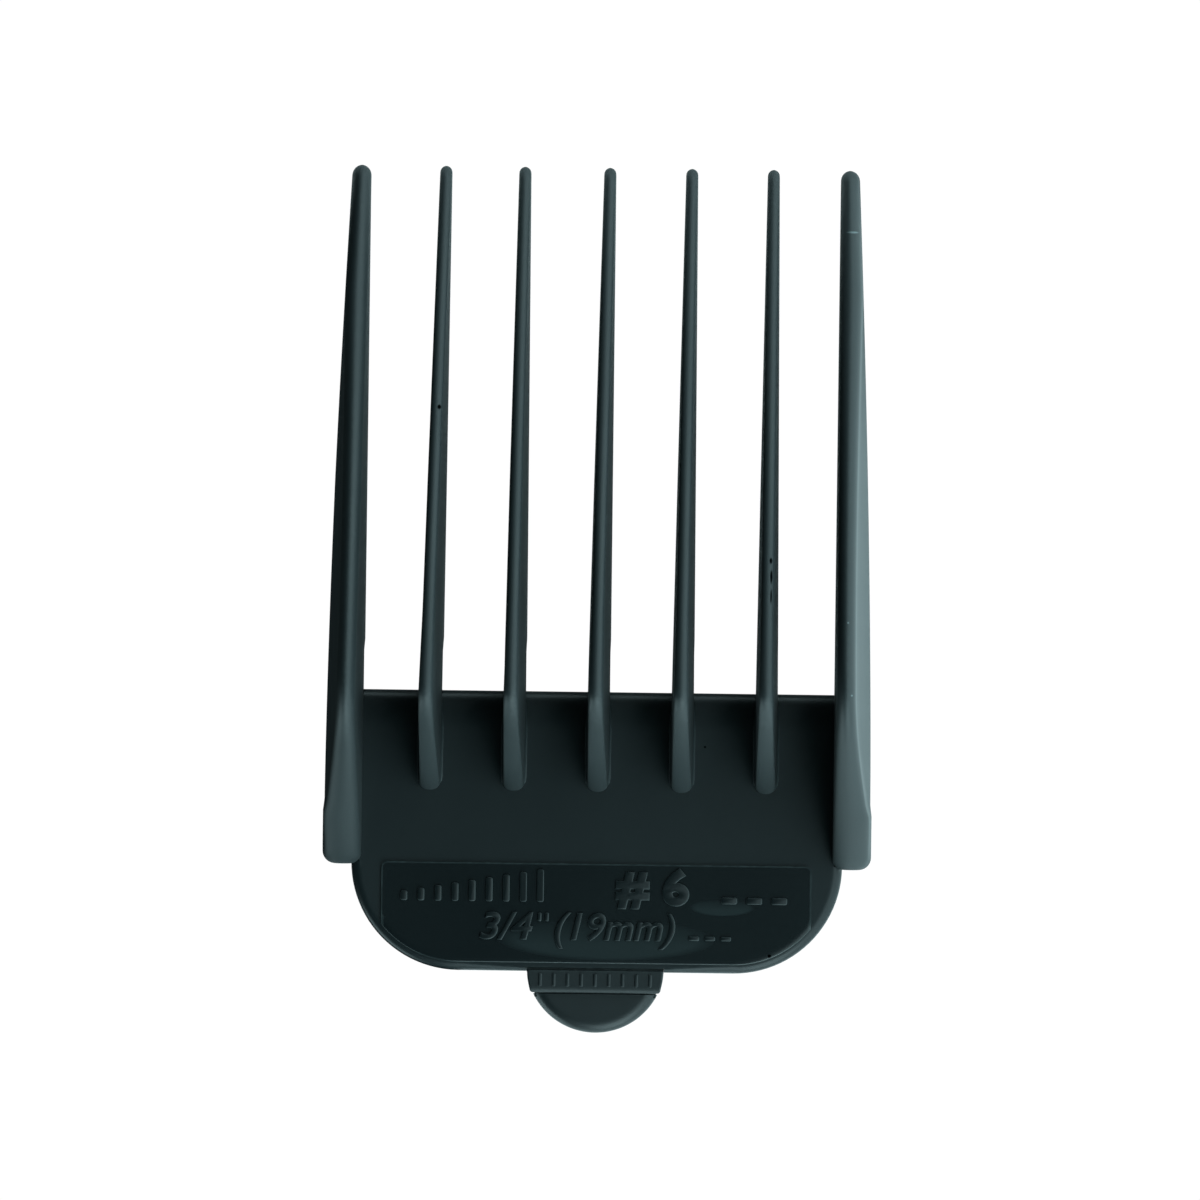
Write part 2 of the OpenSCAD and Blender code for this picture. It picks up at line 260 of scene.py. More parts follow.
def loft(rings):
    """A closed bmesh through rings of points that all have the same number of points."""
    mesh = bmesh.new()
    rows = [[mesh.verts.new(p) for p in ring] for ring in rings]
    count = len(rings[0])
    for near, far in zip(rows, rows[1:]):
        for i in range(count):
            j = (i + 1) % count
            mesh.faces.new((near[i], near[j], far[j], far[i]))
    mesh.faces.new(rows[0])
    mesh.faces.new(rows[-1])
    return mesh


def slab(outline, low, high, top_edge, low_edge, steps=4):
    """A plate with a given outline, in plan, whose upper and lower rims are rounded."""
    mesh = bmesh.new()
    floor = mesh.faces.new([mesh.verts.new((x, y, low)) for x, y in outline])
    moved = bmesh.ops.extrude_face_region(mesh, geom=[floor])["geom"]
    points = [g for g in moved if isinstance(g, bmesh.types.BMVert)]
    bmesh.ops.translate(mesh, verts=points, vec=(0, 0, high - low))
    bmesh.ops.recalc_face_normals(mesh, faces=mesh.faces)
    for z, width in ((high, top_edge), (low, low_edge)):
        if width:
            rim = [e for e in mesh.edges if all(abs(v.co.z - z) < 1e-6 for v in e.verts)]
            bmesh.ops.bevel(mesh, geom=rim, offset=width, segments=steps, profile=0.5, affect="EDGES")
    return mesh


def joined(meshes):
    """Several bmeshes as one."""
    whole = bmesh.new()
    for mesh in meshes:
        data = bpy.data.meshes.new("part")
        mesh.to_mesh(data)
        mesh.free()
        whole.from_mesh(data)
        bpy.data.meshes.remove(data)
    return whole


def arc(x, y, r, start, end, steps):
    """Points along part of a circle, from one angle to another, in degrees."""
    turns = [math.radians(mix(start, end, i / steps)) for i in range(steps + 1)]
    return [(x + r * math.cos(a), y + r * math.sin(a)) for a in turns]


def stations(*spans):
    """Y values along several spans, each (from, to, steps, bias).

    They lie closer together at a span's start when its bias is over 1.
    """
    found = [spans[0][0]]
    for start, end, steps, bias in spans:
        found += [start + (end - start) * (i / steps) ** bias for i in range(1, steps + 1)]
    return found


def tip_stations(steps):
    """Y values along the rounded tip, closer together towards its end."""
    return [TIP_Y - TIP_R * (1 - math.sin(math.radians(90 * i / steps))) for i in range(1, steps + 1)]


# ---- Tines ----

# Distance between two tines at the plate, and what is left of it at the tips
PITCH = (last_tine_low.x + last_tine_high.x) / 2 / 2
TIP_PITCH_SHARE = 0.974
# Widths of a tine's skin edge towards the tip and on the hump, of its foot, and of both at the root
NOSE_W = 1.05
HUMP_W = 1.3
TINE_W = tine_high.x - tine_low.x
ROOT_W = 1.8
ROOT_R = 0.9
# Height of the skin edge at the root, below the deck
ROOT_SUNK = 0.4
# The skin edge narrows between these two places
HUMP_FROM = HUMP_Y - 1.6
HUMP_TO = -1.0
# Bevel along the foot
FOOT_EDGE = 0.12
# Width and height of the fillet between a tine and the plate
FILLET = 0.3
FILLET_HIGH = 0.4
# Sideways lean of each tine's tip, as the moulding left it
TINE_LEAN = (0.3, 0.07, 0.37, 0.4, 0.4)
# Radius of a tine's tip in plan
TINE_TIP_R = 0.55


def tine_x(k, y):
    """The middle of tine k, counted from -2 to 2, which closes in slightly from the plate to the tip."""
    t = (y - FRONT_Y) / (TIP_Y - FRONT_Y)
    lean = TINE_LEAN[k + 2] * share_of(y, FRONT_Y, TIP_Y)
    return k * PITCH * mix(1, TIP_PITCH_SHARE, t) + lean


def tine_foot(y):
    """Half the tine's width at its foot."""
    if y < FRONT_Y:
        return mix(ROOT_W, TINE_W, share_of(y, ROOT_Y, FRONT_Y)) / 2
    return mix(TINE_W, NOSE_W, share_of(y, FRONT_Y, TIP_Y)) / 2


def tine_nose(y):
    """Half the width of the tine's skin edge."""
    if y < HUMP_FROM:
        width = mix(ROOT_W, HUMP_W, share_of(y, ROOT_Y, HUMP_FROM))
    else:
        width = mix(HUMP_W, NOSE_W, share_of(y, HUMP_FROM, HUMP_TO))
    return min(width / 2, 0.97 * tine_foot(y))


def section_side(foot, nose, under, knee, top, fillet):
    """One side of a tine's section, from its underside up to the middle of its skin edge.

    Each point is (width, height). Up to the height knee it is foot wide, and then it narrows to nose.
    """
    room = min(FILLET_HIGH, 0.3 * (top - knee))
    edge = min(FOOT_EDGE, foot / 2, 0.2 * (top - under))
    side = [(foot - edge, under), (foot, under + edge)]
    for i in range(5):
        a = math.radians(22.5 * i)
        side.append((foot + fillet * (1 - math.sin(a)), knee + room * (1 - math.cos(a))))
    low, end = knee + room, top - nose
    side += [(mix(foot, nose, i / 5), mix(low, end, i / 5)) for i in range(1, 5)]
    for i in range(7):
        a = math.radians(90 * i / 6)
        side.append((nose * math.cos(a), end + nose * math.sin(a)))
    return side


def tine_ring(k, y, share):
    """The section of tine k at y, narrowed to a share of its width at its two round ends."""
    foot = tine_foot(y) * share
    nose = tine_nose(y) * share
    top = high(y, top_z(y, ROOT_Y, DECK - ROOT_SUNK))
    under = under_z(y)
    knee = min(deck_z(y) - APART, mix(under, top, 0.3))
    fillet = FILLET * share * (1 - share_of(y, ROLL_Y, FRONT_Y - 0.3))
    side = section_side(foot, nose, under, knee, top, fillet)
    x = tine_x(k, y)
    right = [(x + w, y, z) for w, z in side]
    left = [(x - w, y, z) for w, z in reversed(side[:-1])]
    return right + left


def tine_stations():
    """Where the tines' sections lie, with a step in height at the front of the plate and at the toe stops."""
    return stations(
        (ROOT_Y, ROOT_Y + ROOT_R, 8, 2),
        (ROOT_Y + ROOT_R, ROLL_Y, 12, 1),
        (ROLL_Y, FRONT_Y, 10, 1),
        (FRONT_Y + 0.01, STOP_Y - 0.03, 6, 1),
        (STOP_Y + 0.03, TIP_Y - TIP_R, 36, 1),
    ) + tip_stations(7)


def tine(k, material):
    """Tine k, counted from -2 to 2."""
    rings = []
    for y in tine_stations():
        share = max(TIP_LEAST, min(round_end(y - ROOT_Y, ROOT_R), round_end(TIP_Y - y, TINE_TIP_R)))
        rings.append(tine_ring(k, y, share))
    name = f"tine_{k + 3}"
    return new_piece(f"moulded_{name}", loft(rings), material, "comb", [name])


# ---- Rails ----

# Distance from the middle to the rails' inner face, and to their outer face at the heel and at the tip
RAIL_IN = rail_low.x
RAIL_OUT = rail_high.x
RAIL_TIP_OUT = 22.35
# Radius of the heel's corners and of the tip, in plan
RAIL_OUTER_R = 1.1
RAIL_INNER_R = 1.0
RAIL_TIP_R = 0.9
# Height of the rounded skin edge above the flank
NOSE_HIGH = 1.5
# How far the inner face leans outwards, per millimetre of height
RAIL_DRAFT = 0.011
# Width of the bevel along the inner foot
INNER_EDGE = 0.25
# The outer face steps out a little at the heel
HEEL_BUMP = 0.12
BUMP_Y = -18.6
BUMP_LONG = 0.7
# The crease along the outer face: how far in and how high it runs at most, and its two ends
CREASE_X = 22.8
CREASE_Z = 14.0
CREASE_FROM = -19.0
CREASE_TO = 27.0


def rail_outer(y):
    """Distance from the middle to the rail's outer face at its foot: bowed, with a round heel corner."""
    t = share_of(y, CREASE_FROM, TIP_Y)
    face = mix(RAIL_OUT, RAIL_TIP_OUT, t**1.6)
    face += HEEL_BUMP * (1 - ease(share_of(y, BUMP_Y, BUMP_Y + BUMP_LONG)))
    return face - RAIL_OUTER_R * (1 - round_end(y - HEEL_Y, RAIL_OUTER_R))


def rail_inner(y):
    """Distance from the middle to the rail's inner face, rounded at the heel corner."""
    return RAIL_IN + RAIL_INNER_R * (1 - round_end(y - HEEL_Y, RAIL_INNER_R))


def crease_depth(y):
    """How far the crease lies inside the foot: nothing at its two ends, most near the hump."""
    if y <= CREASE_FROM or y >= CREASE_TO:
        return 0
    if y < FRONT_Y:
        return (RAIL_OUT - CREASE_X) * math.sin(math.pi / 2 * share_of(y, CREASE_FROM, FRONT_Y))
    return (RAIL_OUT - CREASE_X) * math.cos(math.pi / 2 * share_of(y, FRONT_Y, CREASE_TO))


def rail_side(y):
    """The rail's section at y, from its outer foot over the skin edge to its inner foot, as (x, z)."""
    share = max(TIP_LEAST, round_end(TIP_Y - y, RAIL_TIP_R))
    inner, outer = rail_inner(y), rail_outer(y)
    middle = (inner + outer) / 2
    inner, outer = mix(middle, inner, share), mix(middle, outer, share)
    under = plate_low.z + APART / 2 if y < STOP_Y else under_z(y)
    top = high(y, top_z(y, HEEL_Y, RAIL_HEEL_Z))
    top -= 0.5 * (1 - round_end(y - HEEL_Y, RAIL_OUTER_R))
    depth = crease_depth(y)
    crease = outer - depth
    knee = min(DECK, mix(under, top, 0.3))
    ridge = mix(knee, min(CREASE_Z, top - 2), depth / (RAIL_OUT - CREASE_X)) + 0.05
    edge = min(FOOT_EDGE, 0.2 * (top - under))
    points = [(outer - edge, under), (outer, under + edge)]
    points += [(outer, mix(under + edge, knee, i / 3)) for i in (1, 2)]
    points += [(mix(outer, crease, i / 4), mix(knee, ridge, i / 4)) for i in range(5)]
    # the flank and the skin edge are one curve from the crease over to the inner face
    nose_high = min(NOSE_HIGH, 0.8 * (top - ridge))
    lean_in = 0.06 * (crease - inner)
    draft = RAIL_DRAFT * max(0, top - DECK)
    half = (crease - lean_in - inner - draft) / 2
    shoulder = top - nose_high
    points += [(mix(crease, crease - lean_in, i / 4), mix(ridge, shoulder, i / 4)) for i in range(1, 4)]
    for i in range(17):
        a = math.radians(180 * i / 16)
        points.append((inner + draft + half * (1 + math.cos(a)), top - nose_high * (1 - math.sin(a))))
    inside = min(INNER_EDGE, 0.3 * (outer - inner)) if y > STOP_Y else edge
    rise = min(3 * inside, 0.4 * (shoulder - under))
    points += [(mix(inner + draft, inner, i / 5), mix(shoulder, under + rise, i / 5)) for i in range(1, 6)]
    points.append((inner + inside, under))
    return points


def rail_stations():
    """Where the rails' sections lie, with a step in height at the toe stops."""
    return stations(
        (HEEL_Y, HEEL_Y + RAIL_OUTER_R, 10, 2),
        (HEEL_Y + RAIL_OUTER_R, HUMP_FROM, 22, 1),
        (HUMP_FROM, STOP_Y - 0.03, 14, 1),
        (STOP_Y + 0.03, TIP_Y - TIP_R, 44, 1),
    ) + tip_stations(7)


def rail(side, material):
    """The right rail for a side of 1, and the left one for -1."""
    rings = [[(side * x, y, z) for x, z in rail_side(y)] for y in rail_stations()]
    name = "right_rail" if side > 0 else "left_rail"
    return new_piece(f"moulded_{name}", loft(rings), material, "comb", [name])


# ---- Plate ----

# Radius of the heel corners in plan, of the upper edge along the heel, and of the whole lower edge
HEEL_R = 9.5
HEEL_EDGE = 0.8
LOW_EDGE = 0.25
# How far the plate and the lip run in under the rails
PLATE_TUCK = 0.06
LIP_TUCK = 0.05
# The latch sits in a notch in the heel edge. A thin web joins them across a gap.
NOTCH_HALF = bead_high.x + 0.12
NOTCH_DEEP = 0.35
HINGE_GAP = 0.25


def plate_outline():
    """The plate in plan: round heel corners, a notch for the latch, and sides that run in under the rails."""
    half, heel = plate_high.x, plate_low.y
    side = RAIL_IN + PLATE_TUCK
    shoulder = HEEL_Y + RAIL_INNER_R + 0.3
    right = arc(half - HEEL_R, heel + HEEL_R, HEEL_R, -90, 0, 24)
    right = [(NOTCH_HALF, heel + NOTCH_DEEP), (NOTCH_HALF, heel)] + right
    right += [(half, shoulder), (side, shoulder + 0.2), (side, ROLL_Y)]
    left = [(-x, y) for x, y in reversed(right)]
    return right + left


def plate(material):
    """The flat back plate, with a round edge along the heel."""
    mesh = slab(plate_outline(), plate_low.z, DECK, 0, LOW_EDGE)
    heel = plate_low.y
    rim = []
    for edge in mesh.edges:
        middle = (edge.verts[0].co + edge.verts[1].co) / 2
        flat = all(abs(v.co.z - DECK) < 1e-6 for v in edge.verts)
        if flat and middle.y < HEEL_Y + 0.5 and abs(middle.x) > NOTCH_HALF + 0.01:
            rim.append(edge)
    bmesh.ops.bevel(mesh, geom=rim, offset=HEEL_EDGE, segments=9, profile=0.5, affect="EDGES")
    return new_piece("moulded_plate", mesh, material, "comb", ["base_plate"], worn_and_highlit_to=NO_WEAR_OR_HIGHLIGHT_FROM)


# The lip gets no rubbed edges or painted edge highlight, and neither does the plate's front edge, which it
# hides
NO_WEAR_OR_HIGHLIGHT_FROM = ROLL_Y - 1
LIP_STEPS = 24


def lip(material):
    """The rolled front edge: an elliptical curve from the plate down to the front."""
    outline = [(ROLL_Y - 0.01, plate_low.z), (FRONT_Y - 0.12, plate_low.z)]
    for i in range(LIP_STEPS + 1):
        y = ROLL_Y + (FRONT_Y - ROLL_Y) * math.cos(math.radians(90 * i / LIP_STEPS))
        outline.append((y, deck_z(min(y, FRONT_Y - 1e-6))))
    half = RAIL_IN + LIP_TUCK
    mesh = loft([[(x, y, z) for y, z in outline] for x in (-half, half)])
    nodes = ["front_lip"]
    return new_piece("moulded_lip", mesh, material, "comb", nodes, smooth=50, worn_and_highlit_to=NO_WEAR_OR_HIGHLIGHT_FROM)


# ---- Label ----

# Distance of the panel from the plate's heel edge
PANEL_INSET = 0.75
PANEL_CORNER = 0.5
PANEL_TOP = panel_high.y + 0.2
# Width and height of the soft edge at the heel
PANEL_EDGE = 0.5
PANEL_DROP = 0.1


def panel_ring(inset, z):
    """The label panel's outline at height z, with its heel side drawn in by inset."""
    half, low, top = panel_high.x, panel_low.y + inset, PANEL_TOP
    r = HEEL_R - PANEL_INSET - inset
    cx, cy = plate_high.x - HEEL_R, plate_low.y + HEEL_R
    start = math.degrees(math.asin(max(-1, (low - cy) / r)))
    end = -math.degrees(math.acos((half - cx) / r))
    right = arc(cx, cy, r, start, end, 16)
    right += arc(half - PANEL_CORNER, top - PANEL_CORNER, PANEL_CORNER, 0, 90, 5)
    left = [(-x, y) for x, y in reversed(right)]
    return [(x, y, z) for x, y in right + left]


def label_panel(material):
    """The raised panel: a soft edge at the heel and sharp ones at the top and the sides."""
    rings = [panel_ring(0, DECK - 0.1), panel_ring(0, panel_high.z - PANEL_DROP)]
    for i in range(1, 7):
        a = math.radians(15 * i)
        inset = PANEL_EDGE * (1 - math.cos(a))
        rings.append(panel_ring(inset, panel_high.z - PANEL_DROP * (1 - math.sin(a))))
    return new_piece("moulded_panel", loft(rings), material, "comb", ["label_panel"])


# ---- Latch ----

# Middle and radius of the tab's circle
TAB_Y = -32.0
TAB_R = TAB_Y - tab_low.y
STEP_Y = bridge_low.y
# Width of the groove between the strip's step and the tab
TAB_GROOVE = 0.13
# Radius of the tab's upper and lower edge, and how far the neck stays inside the tab
TAB_EDGE = 1.0
TAB_LOW_EDGE = 0.3
NECK_IN = 0.75
STRIP_CORNER = 0.3
STRIP_TOP = DECK - 0.03
# How wide and how deep the strip's top curves down at its step, and the round along its sides
STRIP_CURVE = 0.65
STRIP_DROP = 0.3
STRIP_SIDE = 0.15


def strip_half(y):
    """Half the strip's width: nearly straight sides that draw in a little, and round lower corners."""
    narrowing = share_of(y, plate_low.y - 0.2, STEP_Y + STRIP_CORNER) ** 1.5
    width = mix(NOTCH_HALF - 0.03, NOTCH_HALF - 0.26, narrowing)
    return width - STRIP_CORNER * (1 - round_end(y - STEP_Y, STRIP_CORNER))


def strip(material):
    """The strip across the latch, flush with the plate, that curves down to its step above the tab."""
    start = plate_low.y + NOTCH_DEEP - HINGE_GAP
    places = [(mix(start, STEP_Y + STRIP_CURVE, i / 8), STRIP_TOP) for i in range(8)]
    for i in range(13):
        a = math.radians(90 * i / 12)
        places.append((STEP_Y + STRIP_CURVE * (1 - math.sin(a)), STRIP_TOP - STRIP_DROP * (1 - math.cos(a))))
    rings = []
    for y, top in places:
        half = strip_half(y)
        right = [(half - 0.1, bridge_low.z), (half, bridge_low.z + 0.1)]
        right += arc(half - STRIP_SIDE, top - STRIP_SIDE, STRIP_SIDE, 0, 90, 5)
        left = [(-x, z) for x, z in reversed(right)]
        rings.append([(x, y, z) for x, z in right + left])
    return new_piece("latch_strip", loft(rings), material, "latch", ["latch_bridge"], smooth=50)


# The web's upper and lower side, below the deck, and how far each is hollowed at the middle
WEB_TOP = 0.12
WEB_LOW = 0.9
WEB_TOP_HOLLOW = 0.25
WEB_LOW_HOLLOW = 0.1
# How far the web reaches into the plate and into the strip
WEB_REACH = 0.2


def hinge_web(material):
    """The thin web that bends when the latch is lifted."""
    plate_end = plate_low.y + NOTCH_DEEP
    strip_end = plate_end - HINGE_GAP
    front, back = plate_end + WEB_REACH, strip_end - WEB_REACH
    outline = []
    for i in range(9):
        hollow = WEB_TOP_HOLLOW * math.sin(math.pi * i / 8)
        outline.append((mix(front, back, i / 8), DECK - WEB_TOP - hollow))
    for i in range(9):
        hollow = WEB_LOW_HOLLOW * math.sin(math.pi * i / 8)
        outline.append((mix(back, front, i / 8), DECK - WEB_LOW + hollow))
    half = NOTCH_HALF - 0.01
    rings = [[(x, y, z) for y, z in outline] for x in (-half, half)]
    web = new_piece("hinge_web", loft(rings), material, None, ["hinge_bead"], smooth=50)
    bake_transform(web)
    return web


def thumb_tab(material):
    """The half-round tab, with a soft round edge, and the neck that carries it under the strip."""
    levels = []
    for i in range(5):
        a = math.radians(90 - 22.5 * i)
        inset = TAB_LOW_EDGE * (1 - math.cos(a))
        levels.append((tab_low.z + TAB_LOW_EDGE * (1 - math.sin(a)), TAB_R - inset))
    for i in range(10):
        a = math.radians(10 * i)
        levels.append((tab_high.z - TAB_EDGE * (1 - math.sin(a)), TAB_R - TAB_EDGE * (1 - math.cos(a))))
    rings = []
    for z, r in levels:
        start = math.degrees(math.asin((STEP_Y - TAB_GROOVE - TAB_Y) / r))
        rings.append([(x, y, z) for x, y in arc(0, TAB_Y, r, start, -180 - start, 48)])
    wide, back = TAB_R - NECK_IN, STEP_Y - 0.4
    neck = [(-wide, back), (wide, back), (wide, STEP_Y + 0.3), (-wide, STEP_Y + 0.3)]
    neck = slab(neck, tab_low.z + 0.02, tab_high.z - 0.4, 0, 0)
    return new_piece("latch_tab", joined([loft(rings), neck]), material, "latch", ["thumb_tab"])


# ---- Raised marks ----

MARK_SINK = 0.1
MARK_EDGE = 0.09
# The two base lines, and the height and stroke of the marks on each
LINE_1 = PANEL_TOP - 3.4
LINE_2 = PANEL_TOP - 6.65
BIG = 2.85
SMALL = 2.3
THICK = 0.6
THIN = 0.38
BARS = 9
BARS_X = -17.2
BAR_STEP = 1.5
# Half the thickness and the round edge of raised characters, as shares of the font size
TEXT_HALF = 0.02
TEXT_EDGE = 0.022
# Height of a digit in Blender's own font, as a share of the font size
DIGIT_SHARE = 0.7
ITALIC = 0.22


def round_box(x, y, wide, long, low, high, r, edge):
    """A raised bar with round corners, whose lower left corner in plan is at x and y."""
    outline = arc(x + wide - r, y + r, r, -90, 0, 4) + arc(x + wide - r, y + long - r, r, 0, 90, 4)
    outline += arc(x + r, y + long - r, r, 90, 180, 4) + arc(x + r, y + r, r, 180, 270, 4)
    return slab(outline, low, high, edge, 0, 3)


def raised_bar(x, y, wide, long):
    """A plain mark on the panel, whose lower left corner is at x and y."""
    r = 0.3 * min(wide, long)
    return round_box(x, y, wide, long, panel_high.z - MARK_SINK, marks_high.z, r, MARK_EDGE)


def raised_text(words, left, right, base, height, lean, bold):
    """Raised characters with round edges, between left and right on a base line."""
    curve = bpy.data.curves.new("text", "FONT")
    curve.body = words
    curve.shear = lean
    curve.offset = bold
    curve.extrude = TEXT_HALF
    curve.bevel_depth = TEXT_EDGE
    curve.bevel_resolution = 2
    curve.resolution_u = 6
    thing = bpy.data.objects.new("text", curve)
    bpy.context.scene.collection.objects.link(thing)
    bpy.context.view_layer.update()
    data = bpy.data.meshes.new_from_object(thing.evaluated_get(bpy.context.evaluated_depsgraph_get()))
    bpy.data.objects.remove(thing)
    bpy.data.curves.remove(curve)
    mesh = bmesh.new()
    mesh.from_mesh(data)
    bpy.data.meshes.remove(data)
    bmesh.ops.remove_doubles(mesh, verts=mesh.verts, dist=0.0002)
    first = min(v.co.x for v in mesh.verts)
    last = max(v.co.x for v in mesh.verts)
    deep = max(v.co.z for v in mesh.verts)
    floor = panel_high.z - MARK_SINK
    for v in mesh.verts:
        v.co.x = left + (v.co.x - first) / (last - first) * (right - left)
        v.co.y = base + v.co.y * height / DIGIT_SHARE
        v.co.z = mix(floor, marks_high.z, (v.co.z + deep) / (2 * deep))
    return mesh


def size_marks(material):
    """The size number, the cut length, and plain bars and dashes."""
    parts = []
    for i in range(BARS):
        tall = BIG * (0.3 + 0.7 * i / (BARS - 1))
        parts.append(raised_bar(BARS_X + BAR_STEP * i, LINE_1, THICK, tall))
    parts.append(raised_text("#", 1.7, 4.7, LINE_1, BIG, 0, 0.03))
    parts.append(raised_text("6", 5.8, 8.2, LINE_1, BIG, 0, 0.03))
    parts += [raised_bar(11 + 2.2 * i, LINE_1, 1.4, THICK) for i in range(3)]
    parts.append(raised_text("3/4", -10.2, -5.5, LINE_2, SMALL, ITALIC, 0))
    parts += [raised_bar(-5.1 + 0.65 * i, LINE_2 + 0.68 * SMALL, 0.32, 0.32 * SMALL) for i in range(2)]
    parts.append(raised_text("(19mm)", -3.6, 7.0, LINE_2, SMALL, ITALIC, 0))
    parts += [raised_bar(8.2 + 1.4 * i, LINE_2, 0.9, THIN) for i in range(3)]
    return new_piece("raised_marks", joined(parts), material, "comb", ["size_marks"])


RIDGES = 9
RIDGE_W = 0.32
RIDGE_LONG = 1.15
# Half of each ridge's height is sunk in the strip
RIDGE_HALF = 0.1
# Distance from the middle to the outer side of the last ridge
RIDGE_SPAN = 5.0


def ridges(material):
    """Low ridges across the strip, for the thumb."""
    step = (2 * RIDGE_SPAN - RIDGE_W) / (RIDGES - 1)
    y = STEP_Y + 0.55
    parts = []
    for i in range(RIDGES):
        x = -RIDGE_SPAN + step * i
        low, top = STRIP_TOP - RIDGE_HALF, STRIP_TOP + RIDGE_HALF
        parts.append(round_box(x, y, RIDGE_W, RIDGE_LONG, low, top, 0.12, 0.08))
    return new_piece("moulded_ridges", joined(parts), material, "latch", ["grip_ridges"])


# ---- Blade side ----

hooks_low, hooks_high = box_mm("toe_hooks")
land_low, land_high = box_mm("blade_land")
wall_low, wall_high = box_mm("latch_wall")
barb_low, barb_high = box_mm("latch_barb")
gussets_low, gussets_high = box_mm("latch_gussets")


def cross_bar(outline, left, right, edge, steps=3):
    """A bar along X with a given section, as (y, z), and with all its edges rounded."""
    mesh = bmesh.new()
    end = mesh.faces.new([mesh.verts.new((left, y, z)) for y, z in outline])
    moved = bmesh.ops.extrude_face_region(mesh, geom=[end])["geom"]
    points = [g for g in moved if isinstance(g, bmesh.types.BMVert)]
    bmesh.ops.translate(mesh, verts=points, vec=(right - left, 0, 0))
    bmesh.ops.recalc_face_normals(mesh, faces=mesh.faces)
    bmesh.ops.bevel(mesh, geom=mesh.edges[:], offset=edge, segments=steps, profile=0.5, affect="EDGES")
    return mesh


HOOK_W = 1.7
RAIL_HOOK_W = 2.4


def toe_hooks(material):
    """The hooks under the blade's tooth tips: flat under the comb, with a slanted upper side to snap over."""
    back, front = hooks_low.y, hooks_high.y
    outline = [(front, hooks_low.z), (front + 0.1, hooks_high.z), (front - 0.3, hooks_high.z)]
    outline += [(back, hooks_high.z - 0.45), (back, hooks_low.z + 0.25), (back + 0.25, hooks_low.z)]
    middles = [(tine_x(k, STOP_Y), HOOK_W) for k in range(-2, 3)]
    middles += [(side * (RAIL_IN + 1.4), RAIL_HOOK_W) for side in (-1, 1)]
    parts = [cross_bar(outline, x - wide / 2, x + wide / 2, 0.1) for x, wide in middles]
    return new_piece("moulded_hooks", joined(parts), material, "comb", ["toe_hooks"])


# Radius of the ejector pins' marks, and how far apart they lie along X
PIN_R = 1.25
PIN_STEP = 12
LAND_CORNER = 0.6


def blade_land(material):
    """The raised land that the blade lies on, with the round marks that ejector pins leave."""
    long = land_high.y - land_low.y
    r = LAND_CORNER
    outline = arc(land_high.x - r, land_low.y + r, r, -90, 0, 5)
    outline += arc(land_high.x - r, land_high.y - r, r, 0, 90, 5)
    outline += [(-x, y) for x, y in reversed(outline)]
    parts = [slab(outline, land_low.z, plate_low.z + 0.05, 0, 0.1, 4)]
    for x in (-PIN_STEP, 0, PIN_STEP):
        for y in (land_low.y + 0.2 * long, land_low.y + 0.8 * long):
            pin = arc(x, y, PIN_R, 0, 345, 23)
            parts.append(slab(pin, land_low.z - 0.04, land_low.z + 0.05, 0, 0.03, 2))
    return new_piece("moulded_land", joined(parts), material, "comb", ["blade_land"])


def latch_wall(material):
    """The wall behind the blade's heel, filleted into the strip above it."""
    back, front = wall_low.y, wall_high.y
    fillet = 0.5
    outline = [(back, wall_low.z), (back, bridge_low.z + 0.1), (front + 0.15, bridge_low.z + 0.1)]
    outline += [(front, wall_high.z - fillet), (front, wall_low.z)]
    mesh = cross_bar(outline, wall_low.x, wall_high.x, 0.18, 4)
    return new_piece("moulded_wall", mesh, material, "latch", ["latch_wall"])


def latch_barb(material):
    """The barb that snaps under the blade's heel."""
    root, reach = barb_low.y - 0.15, barb_high.y
    low, high = barb_low.z, barb_high.z
    outline = [(root, low + 0.05), (barb_low.y + 0.15, low), (reach, low + 0.55), (reach, low + 0.8)]
    outline += [(barb_low.y, high), (root, high)]
    mesh = cross_bar(outline, barb_low.x + 0.1, barb_high.x - 0.1, 0.06)
    return new_piece("moulded_barb", mesh, material, "latch", ["latch_barb"])


GUSSET_W = 1


def latch_gussets(material):
    """The two ribs that carry the tab on the wall, with hollow edges."""
    top, low = gussets_high.z + 0.3, gussets_low.z
    root, reach = gussets_high.y + 0.3, gussets_low.y
    outline = [(root, top), (root, low)]
    for i in range(9):
        t = i / 8
        sag = 0.25 * math.sin(math.pi * t)
        outline.append((mix(gussets_high.y, reach, t) + sag, mix(low, gussets_high.z, t) + sag))
    outline.append((reach, top))
    parts = []
    for left in (gussets_low.x, gussets_high.x - GUSSET_W):
        parts.append(cross_bar(outline, left, left + GUSSET_W, 0.08))
    return new_piece("moulded_gussets", joined(parts), material, "latch", ["latch_gussets"])


# ---- Materials ----


